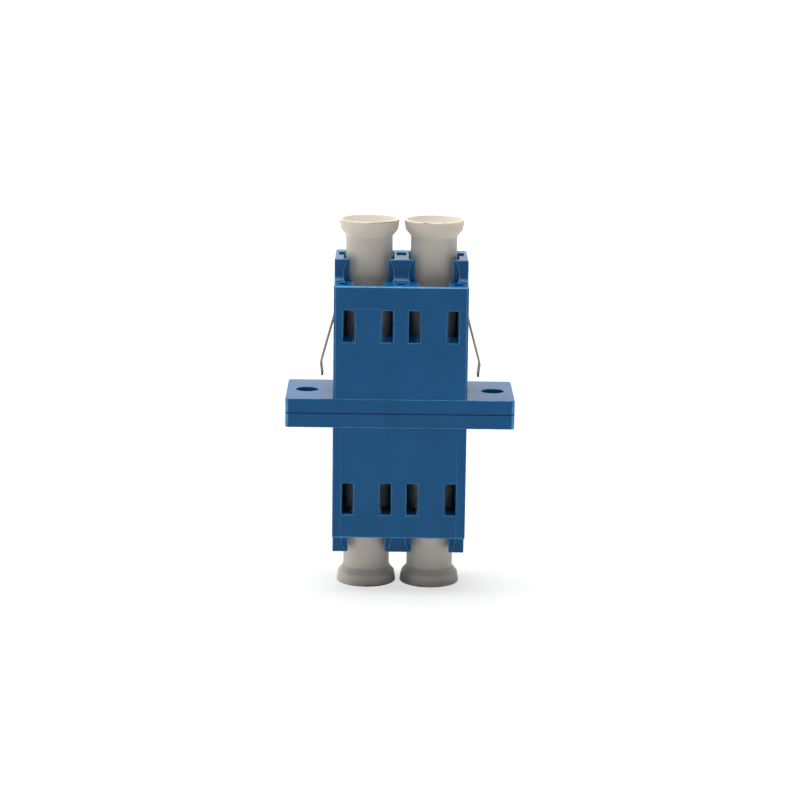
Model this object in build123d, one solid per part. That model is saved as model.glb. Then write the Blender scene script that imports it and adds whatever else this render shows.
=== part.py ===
"""Duplex fibre adapter with a screw flange, a panel clip and four dust caps.

Z is the optical axis, X runs across the two ports, and the latch side faces -Y.
The origin is the centre of the flange, on the plane where the two housing halves meet.
"""

from build123d import *
import os

# Ports and optical axes
PORT_PITCH = 6.25
PORT_SQUARE = 4.65
PORT_CORNER_R = 0.20
REAR_WALL = 1.14
LEAD_IN = 0.12
LEAD_IN_DEPTH = 0.30

# Housing body, each length measured from the meeting plane
BODY_WIDTH = 12.86
BODY_DEPTH = 9.20
BODY_REACH = 14.48
LEDGE_REACH = 12.32
BODY_EDGE_R = 0.25
END_EDGE_R = 0.18
LEDGE_CHAMFER = 0.12
LEDGE_ROOT_R = 0.90
PORT_FLOOR = 1.50

# Latch slot, the lips beside it and the windows that the latch snaps into
LATCH_WIDTH = 2.82
FRONT_SKIN = 0.50
LATCH_FLOOR = 3.20
LATCH_RAMP = 2.60
LIP_SPACING = 3.60
LIP_DEPTH = 0.545
LIP_SETBACK = 0.22
LIP_RECESS_R = 2.38
LIP_RECESS_REACH = 13.00
WINDOW_WIDTH = 1.07
WINDOW_SPACING = 3.66
WINDOW_START = 6.92
WINDOW_END = 9.99

# Small pockets of the mouth
DIMPLE_R = 0.42
DIMPLE_DEPTH = 1.00
DIMPLE_FROM_FRONT = 1.42
DIMPLE_FROM_SIDE = 0.90
POCKET_FRONT = 1.15
POCKET_LENGTH = 2.00
POCKET_WIDTH = 0.92
POCKET_DEPTH = 0.80
NOTCH_WIDTH = 0.60

# Flange, one half of it on each housing half
FLANGE_WIDTH = 22.00
FLANGE_DEPTH = 9.30
FLANGE_HALF = 1.41
FLANGE_CORNER_R = 0.35
FLANGE_EDGE = 0.06
HOLE_FROM_END = 2.00
HOLE_R = 1.10
SEAM_HEIGHT = 0.06
SEAM_INSET = 0.12
PIN_X = 7.35
PIN_Y = 3.20
PIN_R = 0.45
PIN_LENGTH = 0.60
PIN_CLEARANCE = 0.05

# Split sleeves and the barrels that hold them
SLEEVE_BORE_R = 0.6245
SLEEVE_WALL = 0.18
SLEEVE_LENGTH = 6.80
SLEEVE_SLOT = 0.35
SLEEVE_CLEARANCE = 0.10
SLEEVE_END_PLAY = 0.05
BARREL_WALL = 0.45
BARREL_LIP = 0.40
BARREL_LIP_BORE_R = 0.72
BARREL_MOUTH_R = 0.95

# Panel clip, a band of spring steel with a tang lanced from each leg
CLIP_STEEL = 0.20
CLIP_START = 2.05
CLIP_END = 10.30
CLIP_BEND_R = 0.50
CLIP_CLEARANCE = 0.03
RECESS_DEPTH = 0.36
RECESS_GAP = 0.12
FRONT_MARGIN = 1.00
HOOK_START = 2.70
HOOK_END = 5.70
HOOK_REACH = 0.45
TANG_WIDTH = 1.90
TANG_GAP = 0.25
TANG_ROOT = 9.70
TANG_BEND = 4.20
TANG_TIP = 2.95
TANG_SPREAD = 1.36
TANG_TIP_RETURN = 0.15
TANG_BEND_R = 0.60

# Dust caps
CAP_FIT = 0.063
CAP_SEAT_GAP = 0.05
CAP_REACH = 18.04
CAP_RIM_R = 2.925
CAP_RIM_FOOT_R = 2.78
CAP_RIM_HEIGHT = 1.00
CAP_CONE_HEIGHT = 0.62
CAP_LIP = 0.28
CAP_DISH_DEPTH = 1.70
CAP_DISH_FLOOR_R = 1.70
CAP_WEB = 1.30
CAP_BARREL_GAP = 0.20
CAP_TIP_CHAMFER = 0.30

# Worked out from the sizes above
FRONT_Y = -BODY_DEPTH / 2
REAR_Y = BODY_DEPTH / 2
SIDE_X = BODY_WIDTH / 2
PORT_HALF = PORT_SQUARE / 2
AXIS_Y = REAR_Y - REAR_WALL - PORT_HALF
PORT_FRONT_Y = AXIS_Y - PORT_HALF
LIP_FRONT_Y = PORT_FRONT_Y - LIP_DEPTH
PORTS = {"left": -PORT_PITCH / 2, "right": PORT_PITCH / 2}
SLEEVE_R = SLEEVE_BORE_R + SLEEVE_WALL
BARREL_BORE_R = SLEEVE_R + SLEEVE_CLEARANCE
BARREL_R = BARREL_BORE_R + BARREL_WALL
BARREL_SHOULDER = SLEEVE_LENGTH / 2 + SLEEVE_END_PLAY
BARREL_REACH = BARREL_SHOULDER + BARREL_LIP
RECESS_X = SIDE_X - RECESS_DEPTH
RECESS_Y = REAR_Y - RECESS_DEPTH
RECESS_FRONT_Y = FRONT_Y + FRONT_MARGIN
CLIP_INNER_X = RECESS_X + CLIP_CLEARANCE
CLIP_OUTER_X = CLIP_INNER_X + CLIP_STEEL
CLIP_FRONT_Y = RECESS_FRONT_Y + RECESS_GAP
CAP_STEM_R = PORT_HALF - CAP_FIT
HOLE_X = FLANGE_WIDTH / 2 - HOLE_FROM_END

# How far a cutting shape reaches past a surface, and how close a found corner lies to its place
PAST = 1.0
NEAR = 0.01


def block(x0, x1, y0, y1, z0, z1):
    """A box between two corners."""
    return Pos(x0, y0, z0) * Box(x1 - x0, y1 - y0, z1 - z0, align=(Align.MIN, Align.MIN, Align.MIN))


def rod(x, y, z0, z1, radius):
    """A round bar along Z."""
    return Pos(x, y, z0) * Cylinder(radius, z1 - z0, align=(Align.CENTER, Align.CENTER, Align.MIN))


def slab(width, depth, corner_r, z0, z1, x=0, y=0):
    """A rectangular bar along Z with rounded upright edges."""
    return extrude(Pos(x, y, z0) * RectangleRounded(width, depth, corner_r), z1 - z0)


def body_blank():
    """The outer form of one half's body: a bar with rounded edges and a ledge on the latch side."""
    body = slab(BODY_WIDTH, BODY_DEPTH, BODY_EDGE_R, 0, BODY_REACH)
    body = fillet(body.faces().sort_by(Axis.Z)[-1].edges(), END_EDGE_R)
    outside_y = FRONT_Y - PAST
    profile = Polyline(
        (outside_y, LEDGE_REACH - LEDGE_CHAMFER - PAST),
        (FRONT_Y + LEDGE_CHAMFER, LEDGE_REACH),
        (LIP_FRONT_Y, LEDGE_REACH),
        (LIP_FRONT_Y, BODY_REACH + PAST),
        (outside_y, BODY_REACH + PAST),
        close=True,
    )
    face = make_face(profile)
    root = face.vertices().filter_by(lambda v: v.X > LIP_FRONT_Y - NEAR and v.Y < LEDGE_REACH + NEAR)
    face = fillet(root, LEDGE_ROOT_R)
    ledge = extrude(Plane.YZ * face, SIDE_X + PAST, both=True)
    return body - ledge


def flange_blank():
    """Half of the flange's thickness with its two screw holes, and the seam groove to cut round its foot."""
    plate = slab(FLANGE_WIDTH, FLANGE_DEPTH, FLANGE_CORNER_R, 0, FLANGE_HALF)
    plate = chamfer(plate.faces().sort_by(Axis.Z)[-1].edges(), FLANGE_EDGE)
    half_x, half_y = FLANGE_WIDTH / 2, FLANGE_DEPTH / 2
    rim = block(-half_x - PAST, half_x + PAST, -half_y - PAST, half_y + PAST, 0, SEAM_HEIGHT)
    core_x, core_y = half_x - SEAM_INSET, half_y - SEAM_INSET
    rim -= block(-core_x, core_x, -core_y, core_y, 0, SEAM_HEIGHT)
    for side in (-1, 1):
        plate -= rod(side * HOLE_X, 0, -PAST, FLANGE_HALF + PAST, HOLE_R)
    return plate, rim


def port_cut(x):
    """The square plug cavity of one port, with a lead-in at its mouth."""
    cut = slab(PORT_SQUARE, PORT_SQUARE, PORT_CORNER_R, PORT_FLOOR, BODY_REACH + PAST, x, AXIS_Y)
    narrow = Pos(x, AXIS_Y, BODY_REACH - LEAD_IN_DEPTH) * Rectangle(PORT_SQUARE, PORT_SQUARE)
    mouth = PORT_SQUARE + 2 * LEAD_IN
    wide = Pos(x, AXIS_Y, BODY_REACH) * Rectangle(mouth, mouth)
    return cut + loft([narrow, wide])


def latch_cut(x):
    """The slot that the plug's latch slides in, with its ramp, and the two windows that it snaps into."""
    depth_y = FRONT_Y + FRONT_SKIN
    profile = Polyline(
        (PORT_FRONT_Y + PORT_CORNER_R, LATCH_FLOOR),
        (LIP_FRONT_Y, LATCH_FLOOR),
        (depth_y, LATCH_FLOOR + LATCH_RAMP),
        (depth_y, BODY_REACH + PAST),
        (PORT_FRONT_Y + PORT_CORNER_R, BODY_REACH + PAST),
        close=True,
    )
    cut = Pos(x, 0, 0) * extrude(Plane.YZ * make_face(profile), LATCH_WIDTH / 2, both=True)
    for side in (-1, 1):
        centre = x + side * WINDOW_SPACING / 2
        edges = (centre - WINDOW_WIDTH / 2, centre + WINDOW_WIDTH / 2)
        cut += block(*edges, FRONT_Y - PAST, PORT_FRONT_Y + PORT_CORNER_R, WINDOW_START, WINDOW_END)
    return cut


def lip_mouth(x):
    """The opening between the two lips, wider than the slot, whose shoulders lie level with the ledge."""
    edges = (x - LIP_SPACING / 2, x + LIP_SPACING / 2)
    return block(*edges, LIP_FRONT_Y, PORT_FRONT_Y + PORT_CORNER_R, LEDGE_REACH, BODY_REACH + PAST)


def lip_recess(x):
    """The round step that sets the two lips back from the divider and the side walls."""
    disc = Pos(x, LIP_RECESS_REACH) * Circle(LIP_RECESS_R)
    size = 2 * LIP_RECESS_R
    above = Pos(x, LEDGE_REACH) * Rectangle(size, size, align=(Align.CENTER, Align.MIN))
    front = Plane.XZ.offset(-LIP_FRONT_Y - LIP_SETBACK)
    return extrude(front * (disc & above), LIP_SETBACK + LEDGE_ROOT_R + PAST)


def mouth_pockets():
    """The dimples in the ledge, the pocket in the divider's end and the notches in the side walls."""
    dimple_x = SIDE_X - DIMPLE_FROM_SIDE
    dimple_y = FRONT_Y + DIMPLE_FROM_FRONT
    start_y = POCKET_FRONT
    end_y = POCKET_FRONT + POCKET_LENGTH
    top = BODY_REACH + PAST
    floor = BODY_REACH - POCKET_DEPTH
    dimple = rod(0, dimple_y, LEDGE_REACH - DIMPLE_DEPTH, LEDGE_REACH + PAST, DIMPLE_R)
    cuts = [Pos(x, 0, 0) * dimple for x in (-dimple_x, 0, dimple_x)]
    cuts.append(block(-POCKET_WIDTH / 2, POCKET_WIDTH / 2, start_y, end_y, floor, top))
    wall_x = PORT_PITCH / 2 + PORT_HALF
    for side in (-1, 1):
        x0, x1 = sorted((side * (wall_x - PORT_CORNER_R), side * (wall_x + NOTCH_WIDTH)))
        cuts.append(block(x0, x1, start_y, end_y, floor, top))
    return cuts


def clip_recess():
    """The channel for the clip round the two sides and the rear, with a slot for each leg's hook."""
    z0 = CLIP_START - RECESS_GAP
    z1 = CLIP_END + RECESS_GAP
    channel = block(-SIDE_X - PAST, SIDE_X + PAST, RECESS_FRONT_Y, REAR_Y + PAST, z0, z1)
    core_depth = RECESS_Y + SIDE_X
    channel -= slab(2 * RECESS_X, core_depth, CLIP_BEND_R, z0, z1, 0, RECESS_Y - core_depth / 2)
    for side in (-1, 1):
        deep = RECESS_X - HOOK_REACH - RECESS_GAP
        x0, x1 = sorted((side * deep, side * RECESS_X))
        y1 = CLIP_FRONT_Y + CLIP_STEEL + RECESS_GAP
        channel += block(x0, x1, RECESS_FRONT_Y, y1, HOOK_START - RECESS_GAP, HOOK_END + RECESS_GAP)
    return channel


def sleeve_barrel(x):
    """One port's half barrel: the post that stands in the cavity, and the bore with its funnel mouth."""
    post = rod(x, AXIS_Y, 0, BARREL_REACH, BARREL_R)
    bore = rod(x, AXIS_Y, -PAST, BARREL_SHOULDER, BARREL_BORE_R)
    upright = (Align.CENTER, Align.CENTER, Align.MIN)
    funnel = Cone(BARREL_LIP_BORE_R, BARREL_MOUTH_R, BARREL_LIP, align=upright)
    bore += Pos(x, AXIS_Y, BARREL_SHOULDER) * funnel
    bore += rod(x, AXIS_Y, BARREL_REACH, BARREL_REACH + PAST, BARREL_MOUTH_R)
    return post, bore


def housing_half():
    """One moulded half. Both halves are the same part, so its pin meets the other half's socket."""
    plate, seam = flange_blank()
    half = body_blank() + plate
    half -= seam
    for x in PORTS.values():
        post, bore = sleeve_barrel(x)
        half -= port_cut(x)
        half -= latch_cut(x)
        half -= lip_mouth(x)
        half -= lip_recess(x)
        half += post
        half -= bore
    for cut in mouth_pockets():
        half -= cut
    half -= clip_recess()
    half += rod(PIN_X, PIN_Y, -PIN_LENGTH, 0, PIN_R)
    half -= rod(-PIN_X, PIN_Y, 0, PIN_LENGTH + PIN_CLEARANCE, PIN_R + PIN_CLEARANCE)
    return half


def split_sleeve(x):
    """A zirconia sleeve that aligns two ferrules, slit along its length so that it grips them."""
    tube = rod(x, AXIS_Y, -SLEEVE_LENGTH / 2, SLEEVE_LENGTH / 2, SLEEVE_R)
    tube -= rod(x, AXIS_Y, -SLEEVE_LENGTH, SLEEVE_LENGTH, SLEEVE_BORE_R)
    edges = (x - SLEEVE_SLOT / 2, x + SLEEVE_SLOT / 2)
    return tube - block(*edges, AXIS_Y, AXIS_Y + PORT_HALF, -SLEEVE_LENGTH, SLEEVE_LENGTH)


def clip_band():
    """The band of the clip, bent round the rear, with its legs' front ends hooked inwards."""
    inner_y = RECESS_Y + CLIP_CLEARANCE
    core_depth = inner_y + SIDE_X
    outer_depth = core_depth + 2 * CLIP_STEEL
    centre_y = inner_y - core_depth / 2
    bend_r = CLIP_BEND_R + CLIP_CLEARANCE
    outer_width = 2 * CLIP_OUTER_X
    band = slab(outer_width, outer_depth, bend_r + CLIP_STEEL, CLIP_START, CLIP_END, 0, centre_y)
    band -= slab(2 * CLIP_INNER_X, core_depth, bend_r, CLIP_START, CLIP_END, 0, centre_y)
    band -= block(-SIDE_X, SIDE_X, -2 * BODY_DEPTH, CLIP_FRONT_Y, CLIP_START, CLIP_END)
    for side in (-1, 1):
        x0, x1 = sorted((side * (RECESS_X - HOOK_REACH), side * CLIP_OUTER_X))
        hook = block(x0, x1, CLIP_FRONT_Y, CLIP_FRONT_Y + CLIP_STEEL, HOOK_START, HOOK_END)
        band += hook
    return band


def tang(side):
    """A spring tang: it leaves the leg near its far edge, spreads out and turns back in at its tip."""
    bend_x = SIDE_X + TANG_SPREAD
    centre = Polyline(
        (CLIP_OUTER_X - CLIP_STEEL / 2, CLIP_END - RECESS_GAP),
        (CLIP_OUTER_X - CLIP_STEEL / 2, TANG_ROOT),
        (bend_x - CLIP_STEEL / 2, TANG_BEND),
        (bend_x - CLIP_STEEL / 2 - TANG_TIP_RETURN, TANG_TIP),
    )
    bends = centre.vertices().sort_by(Axis.Y)[1:3]
    centre = fillet(bends, TANG_BEND_R)
    strip = extrude(Plane.XZ * trace(centre, CLIP_STEEL), TANG_WIDTH / 2, both=True)
    return strip if side > 0 else mirror(strip, Plane.YZ)


def panel_clip():
    """The whole clip, one folded piece."""
    clip = clip_band()
    half_gap = TANG_WIDTH / 2 + TANG_GAP
    for side in (-1, 1):
        x0, x1 = sorted((side * (CLIP_INNER_X - CLIP_STEEL), side * (CLIP_OUTER_X + CLIP_STEEL)))
        clip -= block(x0, x1, -half_gap, half_gap, TANG_TIP - TANG_GAP, TANG_ROOT)
    for side in (-1, 1):
        clip += tang(side)
    return clip


def dust_cap():
    """A hollow cap for an upper port at X = 0: a stem, a flared rim and a dished end."""
    tip_z = PORT_FLOOR + CAP_SEAT_GAP
    rim_foot_z = CAP_REACH - CAP_RIM_HEIGHT
    neck_z = rim_foot_z - CAP_CONE_HEIGHT
    bore_r = BARREL_R + CAP_BARREL_GAP
    dish_floor_z = CAP_REACH - CAP_DISH_DEPTH
    profile = Polyline(
        (bore_r, tip_z),
        (CAP_STEM_R - CAP_TIP_CHAMFER, tip_z),
        (CAP_STEM_R, tip_z + CAP_TIP_CHAMFER),
        (CAP_STEM_R, neck_z),
        (CAP_RIM_FOOT_R, rim_foot_z),
        (CAP_RIM_R, CAP_REACH),
        (CAP_RIM_R - CAP_LIP, CAP_REACH),
        (CAP_DISH_FLOOR_R, dish_floor_z),
        (0, dish_floor_z),
        (0, dish_floor_z - CAP_WEB),
        (bore_r, dish_floor_z - CAP_WEB),
        close=True,
    )
    return Pos(0, AXIS_Y, 0) * revolve(Plane.XZ * make_face(profile), Axis.Z)


def build():
    """Every node of the adapter by name."""
    half = housing_half()
    turned = Rot(0, 180, 0)
    nodes = {"housing_upper": half, "housing_lower": turned * half, "panel_clip": panel_clip()}
    cap = dust_cap()
    for side, x in PORTS.items():
        nodes[f"sleeve_{side}"] = split_sleeve(x)
        nodes[f"dust_cap_upper_{side}"] = Pos(x, 0, 0) * cap
        nodes[f"dust_cap_lower_{side}"] = Pos(x, 0, 0) * turned * cap
    return nodes


os.makedirs("parts", exist_ok=True)
for name, solid in build().items():
    solid.label = name
    export_step(solid, f"parts/{name}.step")
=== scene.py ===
"""Finishes and studio for a duplex fibre adapter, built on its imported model.

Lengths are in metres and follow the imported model's own frame: Z is the optical axis, X runs across
the two ports, and the latch side faces -Y. The file is laid out as an add-on and is run as a script.
"""

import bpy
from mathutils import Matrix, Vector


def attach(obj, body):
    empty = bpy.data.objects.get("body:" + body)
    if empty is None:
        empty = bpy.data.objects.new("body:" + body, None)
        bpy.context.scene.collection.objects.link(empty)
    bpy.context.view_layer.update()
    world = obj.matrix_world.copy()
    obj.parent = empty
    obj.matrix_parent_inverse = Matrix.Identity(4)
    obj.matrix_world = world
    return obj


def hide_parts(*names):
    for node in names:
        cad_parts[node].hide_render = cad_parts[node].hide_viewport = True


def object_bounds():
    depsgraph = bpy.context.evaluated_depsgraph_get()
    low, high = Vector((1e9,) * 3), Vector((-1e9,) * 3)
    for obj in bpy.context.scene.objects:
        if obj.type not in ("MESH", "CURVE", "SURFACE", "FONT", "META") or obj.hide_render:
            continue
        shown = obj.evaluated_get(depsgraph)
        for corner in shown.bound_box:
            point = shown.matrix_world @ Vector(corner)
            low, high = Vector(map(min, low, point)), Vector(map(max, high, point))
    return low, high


bl_info = {
    "name": "Fibre adapter finish",
    "version": (1, 0, 0),
    "blender": (4, 5, 0),
    "location": "3D View > Sidebar > Adapter",
    "description": "Dresses the adapter's housing, clip, sleeves and dust caps, and sets up its studio",
    "category": "Object",
}

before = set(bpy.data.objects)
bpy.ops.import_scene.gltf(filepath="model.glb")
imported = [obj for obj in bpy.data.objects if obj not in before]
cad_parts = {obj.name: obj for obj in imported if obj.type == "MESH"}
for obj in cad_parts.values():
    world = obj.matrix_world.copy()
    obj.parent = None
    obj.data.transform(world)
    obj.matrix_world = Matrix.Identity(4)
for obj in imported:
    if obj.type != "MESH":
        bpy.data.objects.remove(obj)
CAD_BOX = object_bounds()

import math

import bmesh
import bpy
from bpy.props import FloatProperty, FloatVectorProperty, IntProperty, PointerProperty
from mathutils import Matrix, Vector
from mathutils.geometry import area_tri, delaunay_2d_cdt

MM = 0.001
ROOT_BODY = "adapter"
ENDS = {"upper": 1, "lower": -1}
SIDES = {"left": -1, "right": 1}

# Places on the adapter that the details line up with
PORT_PITCH = 6.25 * MM
PORT_AXIS_Y = 1.135 * MM
FRONT_Y = -4.60 * MM
WINDOW_SPACING = 3.66 * MM
WINDOW_WIDTH = 1.07 * MM
WINDOW_START = 6.92 * MM
WINDOW_END = 9.99 * MM
LEDGE_REACH = 12.32 * MM
DIMPLES_X = (-5.53 * MM, 0, 5.53 * MM)
DIMPLE_Y = -3.18 * MM
DIMPLE_R = 0.42 * MM
SEAM_ZONE = 0.09 * MM

# Half of a dust cap's section, from the middle of its dish out and round to the middle of its web:
# distance from the axis, distance from the meeting plane and radius of the corner, in millimetres
CAP_SECTION = (
    (0.0, 16.34, 0.0),
    (1.70, 16.34, 0.40),
    (2.645, 18.04, 0.09),
    (2.925, 18.04, 0.09),
    (2.78, 17.04, 0.25),
    (2.262, 16.42, 0.30),
    (2.262, 1.85, 0.10),
    (1.962, 1.55, 0.06),
    (1.5545, 1.55, 0.06),
    (1.5545, 15.04, 0.20),
    (0.0, 15.04, 0.0),
)

# How far apart the corners of loose triangles may lie and still be one, and which faces count as flat
WELD = 1e-6
FLAT = math.radians(0.5)
# The turn from which an edge is sharp, and the steps across an edge that is rounded
SHARP = math.radians(50)
ROUND_STEPS = 3
# Strips in the imported model that take the full painted edge highlight on the housing and full wear on the
# clip: the least turn along their long sides, the lean from the axes that leaves only the longest side to
# test, and the greatest width and radius that still count
BENT = math.radians(8)
SLANTED = math.cos(math.radians(30))
STRIP_WIDTH = 0.18 * MM
STRIP_RADIUS = 0.40 * MM
# The face or point value that holds the painted edge highlight on the housing and the wear on the clip, and
# what it is round the windows and along the mould's lines, where it is 1 on every other rounded edge
HIGHLIGHT_AND_WEAR_LAYER = "edge"
SPECIAL_HIGHLIGHT = 0.5
MARK_HIGHLIGHT = 0.5
# How much a face's triangles may cover beyond its own area, and how close two corners of it are one
OVERFILLED = 1.001
CROSSING = 1e-9

# Where the finishes change, each from one value to the other, in millimetres: how far out the clip's
# tangs begin, how high their dark tips end and their painted brown reflection starts, and the edge of a
# cap's rim
TANG_OUT = (6.5, 6.7)
TIP_TOP = (3.05, 3.35)
REFLECTION_RISE = (5.5, 8.0)
RIM_RADIUS = (2.86, 2.88)
RIM_HEIGHT = (17.93, 17.96)

# The studio: the softboxes, the camera's sensor in millimetres and its clipping, and the floor, whose
# glow as the camera sees it grows with the distance in millimetres until it is plain white
KEY_PLACE = (-0.10, 0.08, 1.20)
KEY_SIZE = 1.15
SIDE_PLACE = (-0.40, 0.06, 0.08)
SIDE_SIZE = 0.22
SENSOR_WIDTH = 36
CLIP_NEAR = 0.01
CLIP_FAR = 10
FLOOR_REACH = 3.0
FLOOR_LIT = (0.88, 0.88, 0.88, 1)
FLOOR_SEEN = (0.35, 0.35, 0.35, 1)
GLOW_DISTANCE = (60, 250)
GLOW_STRENGTH = (0.66, 1.0)
WHITE = (1, 1, 1, 1)


def srgb(red, green, blue):
    """A colour given as 0 to 255 screen values, in the linear values that shaders take."""
    def linear(value):
        value /= 255
        return value / 12.92 if value <= 0.04045 else ((value + 0.055) / 1.055) ** 2.4

    return (linear(red), linear(green), linear(blue), 1.0)


# Colours that dust, rubbing and wear bring to the finishes, with the clip's dark tang tips and a painted
# brown reflection up its tangs
HOUSING_DUST = srgb(176, 196, 208)
CLIP_STREAK = srgb(92, 88, 84)
# Painted reflection: the brown that the clip's tangs take up their length
CLIP_REFLECTED_BROWN = srgb(116, 92, 72)
CLIP_TIP = srgb(26, 24, 24)
CLIP_WORN = srgb(190, 187, 182)
SLEEVE_DUST = srgb(180, 176, 168)
CAP_RUBBED = srgb(196, 188, 178)
CAP_DUST = srgb(120, 108, 98)
CAP_SCUFF = srgb(70, 54, 48)


# Settings


class HousingSettings(bpy.types.PropertyGroup):
    colour: FloatVectorProperty(
        name="Plastic", description="Colour of the moulded housing", subtype="COLOR",
        size=4, min=0, max=1, default=srgb(7, 86, 138),
    )
    # The pale blue of a painted highlight along the rounded edges, where they would catch the light
    edge_highlight_colour: FloatVectorProperty(
        name="Edges", description="Colour that the rounded edges wear towards", subtype="COLOR",
        size=4, min=0, max=1, default=srgb(84, 164, 212),
    )
    edge_round: FloatProperty(
        name="Edge rounding", description="Width of the small radius on the moulded edges",
        default=0.09 * MM, min=0, unit="LENGTH",
    )
    window_round: FloatProperty(
        name="Window rounding", description="Width of the radius round the front of each window",
        default=0.10 * MM, min=0, unit="LENGTH",
    )
    mark_width: FloatProperty(
        name="Mould line width", description="Width of the fine lines that the mould's inserts leave",
        default=0.05 * MM, min=0, unit="LENGTH",
    )
    mark_height: FloatProperty(
        name="Mould line height", description="How far those lines stand proud of the wall",
        default=0.012 * MM, min=0, unit="LENGTH",
    )


class ClipSettings(bpy.types.PropertyGroup):
    colour: FloatVectorProperty(
        name="Steel", description="Colour of the spring steel", subtype="COLOR",
        size=4, min=0, max=1, default=srgb(132, 127, 118),
    )
    edge_round: FloatProperty(
        name="Edge rounding", description="Width of the rolled-over edge left by the blanking die",
        default=0.03 * MM, min=0, unit="LENGTH",
    )


class CapSettings(bpy.types.PropertyGroup):
    colour: FloatVectorProperty(
        name="Plastic", description="Colour of the dust caps", subtype="COLOR",
        size=4, min=0, max=1, default=srgb(222, 214, 201),
    )
    segments: IntProperty(
        name="Segments", description="Steps round each cap", default=96, min=12,
    )
    corner_steps: IntProperty(
        name="Corner steps", description="Points on each rounded corner of the section", default=6, min=1,
    )


class SleeveSettings(bpy.types.PropertyGroup):
    colour: FloatVectorProperty(
        name="Zirconia", description="Colour of the split sleeves", subtype="COLOR",
        size=4, min=0, max=1, default=srgb(238, 236, 228),
    )


class StageSettings(bpy.types.PropertyGroup):
    distance: FloatProperty(
        name="Camera distance", description="From the camera to the point it looks at",
        default=0.24997, min=0.05, unit="LENGTH",
    )
    elevation: FloatProperty(
        name="Elevation", description="Camera height above the horizon",
        default=math.radians(11.994), subtype="ANGLE",
    )
    azimuth: FloatProperty(
        name="Azimuth", description="Camera turn about the vertical",
        default=math.radians(-0.399), subtype="ANGLE",
    )
    roll: FloatProperty(
        name="Roll", description="Camera turn about its own axis",
        default=math.radians(0.763), subtype="ANGLE",
    )
    target: FloatVectorProperty(
        name="Target", description="The point that the camera looks at", subtype="TRANSLATION",
        size=3, default=(0.024 * MM, 0, 0.394 * MM),
    )
    lens: FloatProperty(
        name="Focal length", description="In millimetres, on a sensor 36 mm wide", default=115.45, min=10,
    )
    surround: FloatProperty(
        name="Surround", description="Strength of the even light from all round", default=0.06, min=0,
    )
    key_power: FloatProperty(
        name="Key light", description="Power of the large softbox overhead, in watts", default=24.5, min=0,
    )
    fill_power: FloatProperty(
        name="Side light", description="Power of the softbox on the left, in watts", default=0.35, min=0,
    )


# Node trees


class Graph:
    """A node tree, with short ways to add nodes to it and to join them."""

    def __init__(self, tree):
        self.tree = tree

    def add(self, kind, inputs=None, **settings):
        node = self.tree.nodes.new(kind)
        for name, value in settings.items():
            setattr(node, name, value)
        for key, value in (inputs or {}).items():
            self.feed(node.inputs[key], value)
        return node

    def feed(self, socket, value):
        if isinstance(value, bpy.types.NodeSocket):
            self.tree.links.new(value, socket)
        else:
            socket.default_value = value

    def math(self, operation, *values):
        return self.add("ShaderNodeMath", dict(enumerate(values)), operation=operation).outputs[0]

    def scale(self, vector, factor):
        node = self.add("ShaderNodeVectorMath", {0: vector, "Scale": factor}, operation="SCALE")
        return node.outputs["Vector"]

    def stretch(self, vector, amounts):
        node = self.add("ShaderNodeVectorMath", {0: vector, 1: amounts}, operation="MULTIPLY")
        return node.outputs["Vector"]

    def mix(self, factor, first, second):
        node = self.add("ShaderNodeMix", {0: factor, 6: first, 7: second}, data_type="RGBA")
        return node.outputs[2]

    def span(self, value, low, high, start=0.0, end=1.0):
        node = self.add("ShaderNodeMapRange", {
            "Value": value, "From Min": low, "From Max": high, "To Min": start, "To Max": end,
        })
        return node.outputs["Result"]

    def noise(self, place, scale, detail=2.0, roughness=0.5):
        node = self.add("ShaderNodeTexNoise", {
            "Vector": place, "Scale": scale, "Detail": detail, "Roughness": roughness,
        })
        return node.outputs["Fac"]

    def group(self, name, inputs):
        node = self.add("ShaderNodeGroup", node_tree=bpy.data.node_groups[name])
        for key, value in inputs.items():
            self.feed(node.inputs[key], value)
        return node.outputs


def new_tree(name, kind, inputs, outputs):
    """A node group with its sockets, as a graph, the sockets that it reads and those that it fills."""
    tree = bpy.data.node_groups.new(name, kind)
    for label, socket, default in inputs:
        item = tree.interface.new_socket(label, in_out="INPUT", socket_type=socket)
        if default is not None:
            item.default_value = default
    for label, socket in outputs:
        tree.interface.new_socket(label, in_out="OUTPUT", socket_type=socket)
    graph = Graph(tree)
    return graph, graph.add("NodeGroupInput").outputs, graph.add("NodeGroupOutput").inputs


FLOAT, COLOUR, VECTOR = "NodeSocketFloat", "NodeSocketColor", "NodeSocketVector"


def build_moulded_grain():
    """The fine spark-eroded grain of a moulded surface, over a broad unevenness. Places are in mm."""
    graph, source, result = new_tree(
        "moulded_grain", "ShaderNodeTree",
        [("Place", VECTOR, None), ("Fineness", FLOAT, 10.0), ("Unevenness", FLOAT, 0.25)],
        [("Height", FLOAT), ("Tone", FLOAT)],
    )
    fine = graph.noise(source["Place"], source["Fineness"], detail=3.0, roughness=0.6)
    broad = graph.noise(source["Place"], scale=0.45, detail=1.0)
    graph.feed(result["Height"], graph.math("MULTIPLY_ADD", broad, source["Unevenness"], fine))
    graph.feed(result["Tone"], graph.span(fine, 0.3, 0.7))


def build_tone_drift():
    """A slow drift in how light and how strong a moulded colour is."""
    graph, source, result = new_tree(
        "tone_drift", "ShaderNodeTree",
        [("Place", VECTOR, None), ("Colour", COLOUR, (0.5, 0.5, 0.5, 1)), ("Amount", FLOAT, 0.06),
         ("Spread", FLOAT, 0.3)],
        [("Colour", COLOUR)],
    )
    cloudy = graph.noise(source["Place"], source["Spread"], detail=3.0)
    drift = graph.span(cloudy, 0.3, 0.7, start=-1.0, end=1.0)
    factor = graph.math("MULTIPLY_ADD", drift, source["Amount"], 1.0)
    graph.feed(result["Colour"], graph.scale(source["Colour"], factor))


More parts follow.
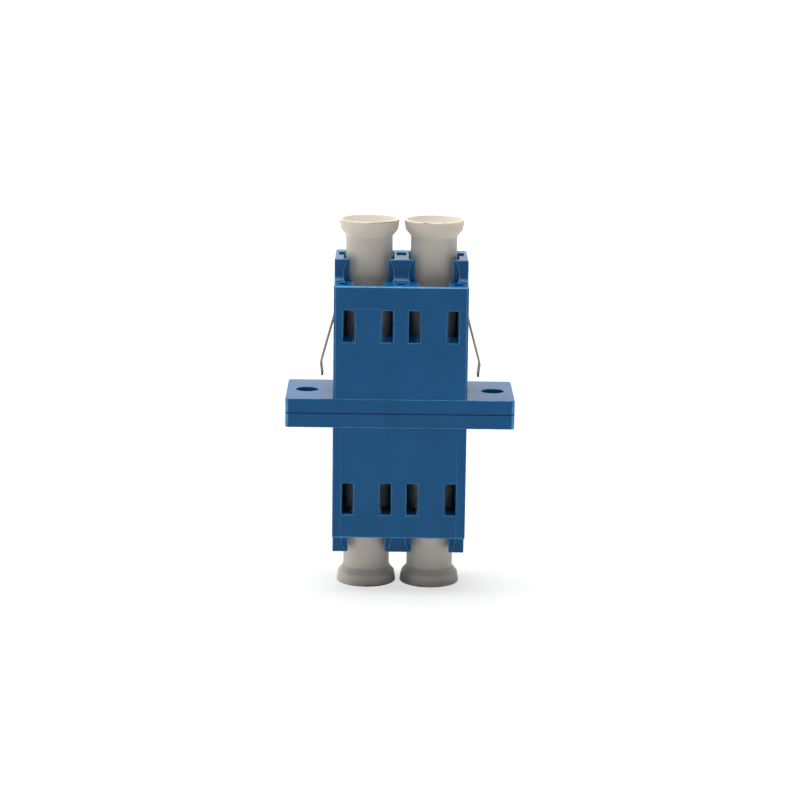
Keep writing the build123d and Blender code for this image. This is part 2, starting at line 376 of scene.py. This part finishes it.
def build_handling_marks():
    """Specks of dust and faint rubbed streaks, as two masks."""
    graph, source, result = new_tree(
        "handling_marks", "ShaderNodeTree",
        [("Place", VECTOR, None), ("Dust", FLOAT, 0.2), ("Rubbing", FLOAT, 0.3)],
        [("Dust", FLOAT), ("Streaks", FLOAT)],
    )
    specks = graph.add("ShaderNodeTexVoronoi", {"Vector": source["Place"], "Scale": 1.7})
    chance = graph.add("ShaderNodeSeparateColor", {0: specks.outputs["Color"]})
    size = graph.span(chance.outputs["Red"], 0.0, 1.0, start=0.02, end=0.07)
    spot = graph.math("LESS_THAN", specks.outputs["Distance"], size)
    kept = graph.math("LESS_THAN", chance.outputs["Green"], source["Dust"])
    graph.feed(result["Dust"], graph.math("MULTIPLY", spot, kept))
    drawn_out = graph.stretch(source["Place"], (0.8, 0.8, 7.0))
    drawn = graph.noise(drawn_out, scale=1.1, detail=4.0, roughness=0.65)
    patch = graph.span(graph.noise(source["Place"], scale=0.25), 0.45, 0.65)
    streaks = graph.math("MULTIPLY", graph.span(drawn, 0.56, 0.74), patch)
    graph.feed(result["Streaks"], graph.math("MULTIPLY", streaks, source["Rubbing"]))


def build_edge_highlight_and_wear():
    """A mask along rounded edges, broken up so that it comes and goes: painted highlight on the housing,
    wear on the clip.
    """
    graph, source, result = new_tree(
        "edge_highlight_and_wear", "ShaderNodeTree",
        [("Place", VECTOR, None), ("Edge", FLOAT, 0.0), ("Amount", FLOAT, 0.5),
         ("Coarseness", FLOAT, 1.5)],
        [("Mask", FLOAT)],
    )
    cloudy = graph.noise(source["Place"], source["Coarseness"], detail=3.0)
    broken = graph.span(cloudy, 0.3, 0.62, start=0.35, end=1.0)
    worn = graph.math("MULTIPLY", source["Edge"], broken)
    graph.feed(result["Mask"], graph.math("MULTIPLY", worn, source["Amount"]))


def build_shader_groups():
    """The effects that the finishes share, each built once."""
    if "moulded_grain" not in bpy.data.node_groups:
        build_moulded_grain()
        build_tone_drift()
        build_handling_marks()
        build_edge_highlight_and_wear()


def new_material(name):
    """A node material as a graph, with its shader and the place on the piece in millimetres."""
    build_shader_groups()
    material = bpy.data.materials.new(name)
    material.use_nodes = True
    graph = Graph(material.node_tree)
    place = graph.scale(graph.add("ShaderNodeTexCoord").outputs["Object"], 1 / MM)
    return material, graph, material.node_tree.nodes["Principled BSDF"], place


def set_shader(graph, shader, values):
    """Shader sockets set to a value or fed by one."""
    for name, value in values.items():
        graph.feed(shader.inputs[name], value)


def bump(graph, height, strength, depth):
    """A bump of the given depth in metres."""
    node = graph.add("ShaderNodeBump", {"Strength": strength, "Distance": depth, "Height": height})
    return node.outputs["Normal"]


def housing_plastic(settings):
    """Blue moulded plastic: satin and finely grained, with a painted highlight along its rounded edges that
    is broken up like wear.
    """
    material, graph, shader, place = new_material("housing_plastic")
    edge = graph.add("ShaderNodeAttribute", attribute_name=HIGHLIGHT_AND_WEAR_LAYER).outputs["Fac"]
    grain = graph.group("moulded_grain", {"Place": place, "Fineness": 9.0, "Unevenness": 0.3})
    marks = graph.group("handling_marks", {"Place": place, "Dust": 0.05, "Rubbing": 0.35})
    highlight_and_wear = graph.group("edge_highlight_and_wear", {"Place": place, "Edge": edge, "Amount": 0.8, "Coarseness": 1.3})
    body = graph.group("tone_drift", {
        "Place": place, "Colour": settings.colour, "Amount": 0.08, "Spread": 0.25,
    })
    # Painted highlight: rounded edges, window rims and mould lines turn paler, as where light catches them,
    # broken up like wear
    colour = graph.mix(highlight_and_wear["Mask"], body["Colour"], settings.edge_highlight_colour)
    colour = graph.mix(graph.math("MULTIPLY", marks["Streaks"], 0.25), colour, settings.edge_highlight_colour)
    colour = graph.mix(graph.math("MULTIPLY", marks["Dust"], 0.6), colour, HOUSING_DUST)
    satin = graph.span(grain["Tone"], 0, 1, start=0.17, end=0.27)
    set_shader(graph, shader, {
        "Base Color": colour, "Specular IOR Level": 0.18,
        "Roughness": graph.math("MULTIPLY_ADD", marks["Streaks"], 0.2, satin),
        "Normal": bump(graph, grain["Height"], 0.12, 0.006 * MM),
    })
    return material


def clip_steel(settings):
    """Rolled spring steel, streaked along the strip, with a painted brown reflection up its tangs and dark
    at their tips.
    """
    material, graph, shader, place = new_material("clip_steel")
    edge = graph.add("ShaderNodeAttribute", attribute_name=HIGHLIGHT_AND_WEAR_LAYER).outputs["Fac"]
    rolled = graph.stretch(place, (0.35, 0.35, 26.0))
    streaks = graph.noise(rolled, scale=1.0, detail=5.0, roughness=0.7)
    marks = graph.group("handling_marks", {"Place": place, "Dust": 0.08, "Rubbing": 0.5})
    highlight_and_wear = graph.group("edge_highlight_and_wear", {"Place": place, "Edge": edge, "Amount": 0.6, "Coarseness": 2.0})
    body = graph.group("tone_drift", {
        "Place": place, "Colour": settings.colour, "Amount": 0.10, "Spread": 0.5,
    })
    parts = graph.add("ShaderNodeSeparateXYZ", {0: place}).outputs
    on_tang = graph.span(graph.math("ABSOLUTE", parts["X"]), *TANG_OUT)
    tip = graph.math("MULTIPLY", graph.span(parts["Z"], *TIP_TOP, start=0.95, end=0.0), on_tang)
    # Painted reflection: a brown tint that rises up the tangs
    reflected_brown = graph.math("MULTIPLY", graph.span(parts["Z"], *REFLECTION_RISE, start=0.0, end=0.35), on_tang)
    colour = graph.mix(graph.span(streaks, 0.35, 0.7, start=0.0, end=0.35), body["Colour"], CLIP_STREAK)
    colour = graph.mix(reflected_brown, colour, CLIP_REFLECTED_BROWN)
    colour = graph.mix(tip, colour, CLIP_TIP)
    colour = graph.mix(graph.math("MULTIPLY", highlight_and_wear["Mask"], 0.5), colour, CLIP_WORN)
    polish = graph.span(streaks, 0.3, 0.7, start=0.24, end=0.40)
    set_shader(graph, shader, {
        "Base Color": colour, "Metallic": 1.0,
        "Roughness": graph.math("ADD", polish, marks["Streaks"]),
        "Normal": bump(graph, streaks, 0.25, 0.004 * MM),
    })
    return material


def rim_scuffs(graph, place):
    """Thin dark dashes along the edge of a cap's rim, most of them at the front."""
    parts = graph.add("ShaderNodeSeparateXYZ", {0: place}).outputs
    across = graph.math("SUBTRACT", graph.math("ABSOLUTE", parts["X"]), PORT_PITCH / MM / 2)
    along = graph.math("SUBTRACT", parts["Y"], PORT_AXIS_Y / MM)
    flat = graph.add("ShaderNodeCombineXYZ", {"X": across, "Y": along}).outputs[0]
    radius = graph.add("ShaderNodeVectorMath", {0: flat}, operation="LENGTH").outputs["Value"]
    height = graph.math("ABSOLUTE", parts["Z"])
    edge = graph.math("MULTIPLY", graph.span(radius, *RIM_RADIUS), graph.span(height, *RIM_HEIGHT))
    front = graph.span(graph.math("DIVIDE", along, radius), -0.1, -0.6)
    spread = graph.add("ShaderNodeCombineXYZ", {
        "X": parts["X"],
        "Y": graph.math("MULTIPLY", along, 0.3),
        "Z": graph.math("MULTIPLY", height, 5.0),
    }).outputs[0]
    dashes = graph.span(graph.noise(spread, scale=0.7, detail=2.0, roughness=0.6), 0.53, 0.57)
    return graph.math("MULTIPLY", graph.math("MULTIPLY", edge, front), dashes)


def cap_plastic(settings):
    """Off-white soft plastic that lets a little light in, with dark scuffs on the rim's edge."""
    material, graph, shader, place = new_material("cap_plastic")
    grain = graph.group("moulded_grain", {"Place": place, "Fineness": 5.0, "Unevenness": 0.5})
    marks = graph.group("handling_marks", {"Place": place, "Dust": 0.10, "Rubbing": 0.4})
    body = graph.group("tone_drift", {
        "Place": place, "Colour": settings.colour, "Amount": 0.03, "Spread": 0.35,
    })
    scuff = graph.math("MULTIPLY", rim_scuffs(graph, place), 0.85)
    colour = graph.mix(graph.math("MULTIPLY", marks["Streaks"], 0.3), body["Colour"], CAP_RUBBED)
    colour = graph.mix(graph.math("MULTIPLY", marks["Dust"], 0.5), colour, CAP_DUST)
    colour = graph.mix(scuff, colour, CAP_SCUFF)
    matte = graph.span(grain["Tone"], 0, 1, start=0.42, end=0.52)
    set_shader(graph, shader, {
        "Base Color": colour, "Specular IOR Level": 0.4,
        "Roughness": graph.math("ADD", matte, marks["Streaks"]),
        "Subsurface Weight": 0.35, "Subsurface Scale": 0.5 * MM,
        "Subsurface Radius": (1.0, 0.8, 0.6),
        "Normal": bump(graph, grain["Height"], 0.3, 0.008 * MM),
    })
    return material


def sleeve_ceramic(settings):
    """Ground zirconia: hard, glossy and faintly ringed by the grinding wheel."""
    material, graph, shader, place = new_material("sleeve_ceramic")
    ground = graph.stretch(place, (0.5, 0.5, 30.0))
    rings = graph.noise(ground, scale=1.0, detail=3.0, roughness=0.6)
    marks = graph.group("handling_marks", {"Place": place, "Dust": 0.02, "Rubbing": 0.2})
    body = graph.group("tone_drift", {
        "Place": place, "Colour": settings.colour, "Amount": 0.03, "Spread": 1.0,
    })
    set_shader(graph, shader, {
        "Base Color": graph.mix(marks["Dust"], body["Colour"], SLEEVE_DUST),
        "Roughness": graph.span(rings, 0.3, 0.7, start=0.08, end=0.16),
        "IOR": 2.1,
        "Normal": bump(graph, rings, 0.2, 0.001 * MM),
    })
    return material


# Shapes


def link_piece(name, mesh, material, body, replaced=None):
    """A finished piece on its body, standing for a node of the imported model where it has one."""
    mesh.materials.clear()
    mesh.materials.append(material)
    piece = bpy.data.objects.new(name, mesh)
    bpy.context.scene.collection.objects.link(piece)
    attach(piece, body)
    if replaced:
        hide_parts(replaced)
    return piece


def evaluated_mesh(carrier):
    """The mesh that an object's modifiers make, after which the object itself goes."""
    depsgraph = bpy.context.evaluated_depsgraph_get()
    mesh = bpy.data.meshes.new_from_object(
        carrier.evaluated_get(depsgraph), preserve_all_data_layers=True, depsgraph=depsgraph,
    )
    bpy.data.objects.remove(carrier)
    return mesh


def carrier_of(name, mesh):
    """A passing object that carries a mesh through its modifiers."""
    carrier = bpy.data.objects.new(name, mesh)
    bpy.context.scene.collection.objects.link(carrier)
    return carrier


def soften(name, mesh):
    """Smooth shading that leaves the large faces flat."""
    mesh.shade_smooth()
    carrier = carrier_of(name, mesh)
    normals = carrier.modifiers.new("normals", "WEIGHTED_NORMAL")
    normals.mode = "FACE_AREA"
    normals.weight = 50
    normals.keep_sharp = True
    return evaluated_mesh(carrier)


def welded(node_name):
    """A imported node's triangles joined up, with its flat faces merged."""
    work = bmesh.new()
    work.from_mesh(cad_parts[node_name].data)
    bmesh.ops.remove_doubles(work, verts=work.verts, dist=WELD)
    bmesh.ops.dissolve_limit(work, angle_limit=FLAT, verts=work.verts, edges=work.edges)
    return work


def round_edges(work, edges, width, layer, highlight_and_wear=1.0):
    """A small radius on some edges, whose new faces are marked with how much painted highlight (on the
    clip, wear) they take.
    """
    made = bmesh.ops.bevel(
        work, geom=list(edges), offset=width, offset_type="OFFSET", affect="EDGES",
        segments=ROUND_STEPS, profile=0.5, clamp_overlap=False,
    )
    for face in made["faces"]:
        face[layer] = highlight_and_wear


def refill_crossed(work):
    """Flat faces whose outline crosses itself, where two roundings meet in a tight place, filled anew."""
    filled = {}
    for corners in work.calc_loop_triangles():
        face = corners[0].face
        filled[face] = filled.get(face, 0.0) + area_tri(*(corner.vert.co for corner in corners))
    crossed = [face for face, area in filled.items() if area > face.calc_area() * OVERFILLED]
    for face in crossed:
        turn = face.normal.to_track_quat("Z", "Y").to_matrix()
        corners = list(face.verts)
        flat = [turn.transposed() @ corner.co for corner in corners]
        points, _, triangles, sources, _, _ = delaunay_2d_cdt(
            [point.xy for point in flat], [], [list(range(len(flat)))], 1, CROSSING,
        )
        placed = []
        for point, source in zip(points, sources):
            place = turn @ Vector((point.x, point.y, flat[0].z))
            placed.append(corners[source[0]] if source else work.verts.new(place))
        for triangle in triangles:
            chosen = [placed[i] for i in triangle]
            if len(set(chosen)) == 3 and not work.faces.get(chosen):
                work.faces.new(chosen, face)
    bmesh.ops.delete(work, geom=crossed, context="FACES_ONLY")


def rounded_mesh(node_name, width, is_special=None, special_width=0.0):
    """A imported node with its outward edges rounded, the special ones more than the rest."""
    work = welded(node_name)
    layer = work.faces.layers.float.new(HIGHLIGHT_AND_WEAR_LAYER)
    # Narrow strips take the full painted edge highlight on the housing, and full wear on the clip
    for face in work.faces:
        face[layer] = float(is_strip(face))
    if is_special:
        special = [edge for edge in outward_edges(work) if is_special(edge)]
        round_edges(work, special, special_width, layer, SPECIAL_HIGHLIGHT)
    plain = [edge for edge in outward_edges(work) if not any(face[layer] for face in edge.link_faces)]
    round_edges(work, plain, width, layer)
    refill_crossed(work)
    for edge in work.edges:
        if edge.is_manifold and edge.calc_face_angle() > SHARP:
            edge.smooth = False
    mesh = bpy.data.meshes.new(node_name)
    work.to_mesh(mesh)
    work.free()
    return soften(node_name, mesh)


def is_strip(face):
    """Whether a face is a narrow chamfer or one strip of a tightly rounded edge."""
    sides = sorted(face.edges, key=lambda edge: edge.calc_length())[-2:]
    width = face.calc_area() / sides[-1].calc_length()
    if max(abs(part) for part in face.normal) < SLANTED:
        sides = sides[-1:]
    for side in sides:
        if not side.is_manifold or not side.is_convex or side.calc_face_angle() <= BENT:
            return False
    turn = min(side.calc_face_angle() for side in sides)
    return width < min(STRIP_WIDTH, 2 * STRIP_RADIUS * math.tan(turn / 2))


def outward_edges(work):
    """The sharp edges that stick out, apart from those of the fine seam between the halves."""
    found = []
    for edge in work.edges:
        if not edge.is_manifold or not edge.is_convex:
            continue
        if edge.calc_face_angle() < SHARP or is_dimple_edge(edge):
            continue
        if min(abs(vert.co.z) for vert in edge.verts) > SEAM_ZONE:
            found.append(edge)
    return found


def is_dimple_edge(edge):
    """Whether an edge lies on the crisp rim of one of the ledge's dimples."""
    for vert in edge.verts:
        if abs(abs(vert.co.z) - LEDGE_REACH) > WELD:
            return False
        if not any(math.dist(vert.co.xy, (x, DIMPLE_Y)) < DIMPLE_R + WELD for x in DIMPLES_X):
            return False
    return True


def is_window_edge(edge):
    """Whether an edge lies round the front of a latch window."""
    for vert in edge.verts:
        height = abs(vert.co.z)
        if abs(vert.co.y - FRONT_Y) > WELD or not WINDOW_START - WELD < height < WINDOW_END + WELD:
            return False
        from_port = abs(abs(vert.co.x) - PORT_PITCH / 2)
        if from_port > WINDOW_SPACING / 2 + WINDOW_WIDTH:
            return False
    return True


def run_tree(name, tree, mesh, values):
    """The mesh that a Geometry Nodes tree makes from a starting mesh and named values."""
    carrier = carrier_of(name, mesh)
    modifier = carrier.modifiers.new("form", "NODES")
    modifier.node_group = tree
    for item in tree.interface.items_tree:
        if item.item_type == "SOCKET" and item.in_out == "INPUT" and item.name in values:
            modifier[item.identifier] = values[item.name]
    return evaluated_mesh(carrier)


def end_tree(graph, geometry, material, socket):
    """The last nodes of a Geometry Nodes tree, which make its form real and give it its material."""
    real = graph.add("GeometryNodeRealizeInstances", {"Geometry": geometry})
    final = graph.add("GeometryNodeSetMaterial", {"Geometry": real.outputs[0], "Material": material})
    graph.feed(socket, final.outputs[0])
    return graph.tree


def build_lathe():
    """Geometry Nodes that turn an open section about the Z axis, with its corners rounded first."""
    graph, source, result = new_tree(
        "dust_cap_lathe", "GeometryNodeTree",
        [("Section", "NodeSocketGeometry", None), ("Segments", "NodeSocketInt", 96),
         ("Corner steps", "NodeSocketInt", 6), ("Place", VECTOR, None),
         ("Turn", "NodeSocketRotation", None), ("Plastic", "NodeSocketMaterial", None)],
        [("Cap", "NodeSocketGeometry")],
    )
    corner = graph.add("GeometryNodeInputNamedAttribute", {"Name": "corner"}, data_type="FLOAT")
    curve = graph.add("GeometryNodeMeshToCurve", {"Mesh": source["Section"]}).outputs["Curve"]
    section = graph.add("GeometryNodeFilletCurve", {
        "Curve": curve, "Count": source["Corner steps"], "Radius": corner.outputs["Attribute"],
        "Limit Radius": True,
    }, mode="POLY").outputs["Curve"]
    points = graph.add("GeometryNodeAttributeDomainSize", {"Geometry": section}, component="CURVE")
    columns = graph.math("ADD", source["Segments"], 1)
    grid = graph.add("GeometryNodeMeshGrid", {
        "Vertices X": points.outputs["Point Count"], "Vertices Y": columns,
    })
    index = graph.add("GeometryNodeInputIndex").outputs["Index"]
    row = graph.math("FLOOR", graph.math("DIVIDE", index, columns))
    column = graph.math("SUBTRACT", index, graph.math("MULTIPLY", row, columns))
    sample = graph.add("GeometryNodeSampleIndex", {
        "Geometry": section, "Value": graph.add("GeometryNodeInputPosition").outputs[0], "Index": row,
    }, data_type="FLOAT_VECTOR", domain="POINT")
    place = graph.add("ShaderNodeSeparateXYZ", {0: sample.outputs[0]})
    angle = graph.math("MULTIPLY", graph.math("DIVIDE", column, source["Segments"]), math.tau)
    turned = graph.add("ShaderNodeCombineXYZ", {
        "X": graph.math("MULTIPLY", place.outputs["X"], graph.math("COSINE", angle)),
        "Y": graph.math("MULTIPLY", place.outputs["X"], graph.math("SINE", angle)),
        "Z": place.outputs["Z"],
    })
    form = graph.add("GeometryNodeSetPosition", {
        "Geometry": grid.outputs["Mesh"], "Position": turned.outputs[0],
    })
    closed = graph.add("GeometryNodeMergeByDistance", {"Geometry": form.outputs[0], "Distance": WELD})
    placed = graph.add("GeometryNodeTransform", {
        "Geometry": closed.outputs[0], "Translation": source["Place"], "Rotation": source["Turn"],
    })
    return end_tree(graph, placed.outputs[0], source["Plastic"], result["Cap"])


def section_mesh():
    """A dust cap's half section as a row of edges, each point with the radius of its corner."""
    mesh = bpy.data.meshes.new("cap_section")
    mesh.from_pydata(
        [(radius * MM, 0, height * MM) for radius, height, _ in CAP_SECTION],
        [(i, i + 1) for i in range(len(CAP_SECTION) - 1)], [],
    )
    corner = mesh.attributes.new("corner", "FLOAT", "POINT")
    corner.data.foreach_set("value", [radius * MM for _, _, radius in CAP_SECTION])
    return mesh


def build_mark_lines():
    """Geometry Nodes that lay a fine ridge along each line of the starting mesh."""
    graph, source, result = new_tree(
        "mould_mark_lines", "GeometryNodeTree",
        [("Lines", "NodeSocketGeometry", None), ("Width", FLOAT, 0.05 * MM), ("Height", FLOAT, 0.012 * MM),
         ("Plastic", "NodeSocketMaterial", None)],
        [("Ridges", "NodeSocketGeometry")],
    )
    curve = graph.add("GeometryNodeMeshToCurve", {"Mesh": source["Lines"]}).outputs["Curve"]
    section = graph.add("GeometryNodeCurvePrimitiveCircle", {"Resolution": 8, "Radius": 0.5}, mode="RADIUS")
    width = graph.add("ShaderNodeCombineXYZ", {"X": source["Width"], "Y": source["Width"], "Z": 1.0})
    sized = graph.add("GeometryNodeTransform", {
        "Geometry": section.outputs["Curve"], "Scale": width.outputs[0],
    })
    ridge = graph.add("GeometryNodeCurveToMesh", {
        "Curve": curve, "Profile Curve": sized.outputs[0], "Fill Caps": True,
    }).outputs["Mesh"]
    place = graph.add("ShaderNodeSeparateXYZ", {0: graph.add("GeometryNodeInputPosition").outputs[0]})
    above = graph.math("DIVIDE", graph.math("SUBTRACT", place.outputs["Y"], FRONT_Y), source["Width"])
    flat = graph.math("MULTIPLY_ADD", above, graph.math("MULTIPLY", source["Height"], 2.0), FRONT_Y)
    pressed = graph.add("GeometryNodeSetPosition", {
        "Geometry": ridge,
        "Position": graph.add("ShaderNodeCombineXYZ", {
            "X": place.outputs["X"], "Y": flat, "Z": place.outputs["Z"],
        }).outputs[0],
    })
    # The ridges take part of the painted edge highlight, so that they show as pale lines
    marked = graph.add("GeometryNodeStoreNamedAttribute", {
        "Geometry": pressed.outputs[0], "Name": HIGHLIGHT_AND_WEAR_LAYER, "Value": MARK_HIGHLIGHT,
    }, data_type="FLOAT", domain="POINT")
    return end_tree(graph, marked.outputs[0], source["Plastic"], result["Ridges"])


def mark_lines_mesh():
    """The lines that the mould's inserts leave on the two front walls, as rows of edges."""
    hooked = [(-5.98, -1.56), (-5.80, -1.66), (-5.70, -1.88), (-5.66, -2.30), (-5.65, -12.12)]
    straight = [(5.53, -2.60), (5.55, -12.12)]
    joined = [(-4.62, 10.16), (-2.00, 10.16)]
    points, edges = [], []
    for line in (hooked, straight, joined):
        start = len(points)
        points += [(x * MM, FRONT_Y, z * MM) for x, z in line]
        edges += [(i, i + 1) for i in range(start, len(points) - 1)]
    mesh = bpy.data.meshes.new("mark_lines")
    mesh.from_pydata(points, edges, [])
    return mesh


# Pieces


class ADAPTER_OT_housing(bpy.types.Operator):
    """Dress the two moulded halves of the housing"""

    bl_idname = "adapter.housing"
    bl_label = "Housing halves"

    def execute(self, context):
        settings = context.scene.adapter_housing
        plastic = housing_plastic(settings)
        for end in ENDS:
            node = f"housing_{end}"
            mesh = rounded_mesh(node, settings.edge_round, is_window_edge, settings.window_round)
            link_piece(f"{node}_moulding", mesh, plastic, ROOT_BODY, node)
        ridges = run_tree("mould_marks", build_mark_lines(), mark_lines_mesh(), {
            "Width": settings.mark_width, "Height": settings.mark_height, "Plastic": plastic,
        })
        link_piece("mould_marks", ridges, plastic, ROOT_BODY)
        return {"FINISHED"}


class ADAPTER_OT_clip(bpy.types.Operator):
    """Dress the folded steel clip"""

    bl_idname = "adapter.clip"
    bl_label = "Panel clip"

    def execute(self, context):
        settings = context.scene.adapter_clip
        mesh = rounded_mesh("panel_clip", settings.edge_round)
        link_piece("panel_clip_strip", mesh, clip_steel(settings), ROOT_BODY, "panel_clip")
        return {"FINISHED"}


class ADAPTER_OT_sleeves(bpy.types.Operator):
    """Finish the two split sleeves inside the ports"""

    bl_idname = "adapter.sleeves"
    bl_label = "Split sleeves"

    def execute(self, context):
        ceramic = sleeve_ceramic(context.scene.adapter_sleeve)
        for side in SIDES:
            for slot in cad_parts[f"sleeve_{side}"].material_slots:
                slot.material = ceramic
        return {"FINISHED"}


class ADAPTER_OT_dust_caps(bpy.types.Operator):
    """Turn a dust cap for each port"""

    bl_idname = "adapter.dust_caps"
    bl_label = "Dust caps"

    def execute(self, context):
        settings = context.scene.adapter_cap
        plastic = cap_plastic(settings)
        lathe = build_lathe()
        for end, direction in ENDS.items():
            for side, offset in SIDES.items():
                name = f"{end}_{side}"
                mesh = run_tree(name, lathe, section_mesh(), {
                    "Segments": settings.segments, "Corner steps": settings.corner_steps,
                    "Place": (offset * PORT_PITCH / 2, PORT_AXIS_Y, 0),
                    "Turn": (0, 0 if direction > 0 else math.pi, 0), "Plastic": plastic,
                })
                link_piece(
                    f"dust_cap_{name}_turned", soften(name, mesh), plastic,
                    f"cap_{name}", f"dust_cap_{name}",
                )
        return {"FINISHED"}


class ADAPTER_OT_stage(bpy.types.Operator):
    """Set up the floor, the lights and the camera"""

    bl_idname = "adapter.stage"
    bl_label = "Studio"

    def execute(self, context):
        settings = context.scene.adapter_stage
        add_floor(CAD_BOX[0].z)
        add_camera(context.scene, settings)
        add_softbox("key_softbox", KEY_PLACE, KEY_SIZE, settings.key_power)
        add_softbox("side_softbox", SIDE_PLACE, SIDE_SIZE, settings.fill_power)
        add_surround(context.scene, settings.surround)
        context.scene.view_settings.view_transform = "Standard"
        return {"FINISHED"}


def add_camera(scene, settings):
    """The camera, turned and placed as the photograph was taken."""
    azimuth, elevation, roll = settings.azimuth, settings.elevation, settings.roll
    forward = Vector((
        -math.sin(azimuth) * math.cos(elevation),
        math.cos(azimuth) * math.cos(elevation),
        -math.sin(elevation),
    ))
    level = Vector((math.cos(azimuth), math.sin(azimuth), 0))
    upright = level.cross(forward)
    across = math.cos(roll) * level + math.sin(roll) * upright
    up = math.cos(roll) * upright - math.sin(roll) * level
    data = bpy.data.cameras.new("photo_camera")
    data.lens = settings.lens
    data.sensor_width = SENSOR_WIDTH
    data.clip_start = CLIP_NEAR
    data.clip_end = CLIP_FAR
    camera = bpy.data.objects.new("photo_camera", data)
    scene.collection.objects.link(camera)
    turn = Matrix((across, up, -forward)).transposed().to_4x4()
    camera.matrix_world = Matrix.Translation(Vector(settings.target) - forward * settings.distance) @ turn
    scene.camera = camera


def add_floor(height):
    """A plain white floor under the object, open to a view from below."""
    mesh = bpy.data.meshes.new("floor")
    corners = [(-1, -1), (1, -1), (1, 1), (-1, 1)]
    mesh.from_pydata([(x * FLOOR_REACH, y * FLOOR_REACH, height) for x, y in corners], [], [(0, 1, 2, 3)])
    floor = bpy.data.objects.new("floor", mesh)
    bpy.context.scene.collection.objects.link(floor)
    material, graph, shader, place = new_material("floor_white")
    seen = graph.add("ShaderNodeLightPath").outputs["Is Camera Ray"]
    away = graph.add("ShaderNodeVectorMath", {0: place}, operation="LENGTH").outputs["Value"]
    glow = graph.span(away, *GLOW_DISTANCE, *GLOW_STRENGTH)
    set_shader(graph, shader, {
        "Base Color": graph.mix(seen, FLOOR_LIT, FLOOR_SEEN),
        "Roughness": 0.9, "Specular IOR Level": 0.0,
        "Emission Color": WHITE, "Emission Strength": graph.math("MULTIPLY", seen, glow),
    })
    below = graph.add("ShaderNodeNewGeometry").outputs["Backfacing"]
    clear = graph.add("ShaderNodeBsdfTransparent").outputs[0]
    open_below = graph.add("ShaderNodeMixShader", {0: below, 1: shader.outputs[0], 2: clear}).outputs[0]
    graph.feed(material.node_tree.nodes["Material Output"].inputs["Surface"], open_below)
    mesh.materials.append(material)


def add_softbox(name, place, size, power):
    """A square softbox that looks at the middle of the object."""
    data = bpy.data.lights.new(name, "AREA")
    data.size = size
    data.energy = power
    light = bpy.data.objects.new(name, data)
    bpy.context.scene.collection.objects.link(light)
    aim = (-Vector(place)).to_track_quat("-Z", "Y").to_matrix().to_4x4()
    light.matrix_world = Matrix.Translation(place) @ aim


def add_surround(scene, strength):
    """Even light from all round, which the camera and reflections see as plain white."""
    world = bpy.data.worlds.new("studio")
    scene.world = world
    world.use_nodes = True
    graph = Graph(world.node_tree)
    path = graph.add("ShaderNodeLightPath").outputs
    seen = graph.math("MAXIMUM", path["Is Camera Ray"], path["Is Glossy Ray"])
    seen = graph.math("MAXIMUM", seen, path["Is Transmission Ray"])
    background = world.node_tree.nodes["Background"]
    graph.feed(background.inputs["Color"], WHITE)
    graph.feed(background.inputs["Strength"], graph.span(seen, 0, 1, start=strength, end=1.0))


class ADAPTER_PT_sidebar(bpy.types.Panel):
    bl_idname = "ADAPTER_PT_sidebar"
    bl_label = "Fibre adapter"
    bl_space_type = "VIEW_3D"
    bl_region_type = "UI"
    bl_category = "Adapter"

    def draw(self, context):
        for attribute, settings, operator in STEPS:
            box = self.layout.box()
            for name in settings.__annotations__:
                box.prop(getattr(context.scene, attribute), name)
            box.operator(operator.bl_idname)


# Each step's place on the scene, its settings and its operator, in the order in which they run
STEPS = (
    ("adapter_housing", HousingSettings, ADAPTER_OT_housing),
    ("adapter_clip", ClipSettings, ADAPTER_OT_clip),
    ("adapter_sleeve", SleeveSettings, ADAPTER_OT_sleeves),
    ("adapter_cap", CapSettings, ADAPTER_OT_dust_caps),
    ("adapter_stage", StageSettings, ADAPTER_OT_stage),
)


def register():
    for attribute, settings, operator in STEPS:
        bpy.utils.register_class(settings)
        bpy.utils.register_class(operator)
        setattr(bpy.types.Scene, attribute, PointerProperty(type=settings))
    bpy.utils.register_class(ADAPTER_PT_sidebar)


def unregister():
    bpy.utils.unregister_class(ADAPTER_PT_sidebar)
    for attribute, settings, operator in reversed(STEPS):
        delattr(bpy.types.Scene, attribute)
        bpy.utils.unregister_class(operator)
        bpy.utils.unregister_class(settings)


def main():
    register()
    bpy.ops.adapter.housing()
    bpy.ops.adapter.clip()
    bpy.ops.adapter.sleeves()
    bpy.ops.adapter.dust_caps()
    bpy.ops.adapter.stage()


if __name__ == "__main__":
    main()
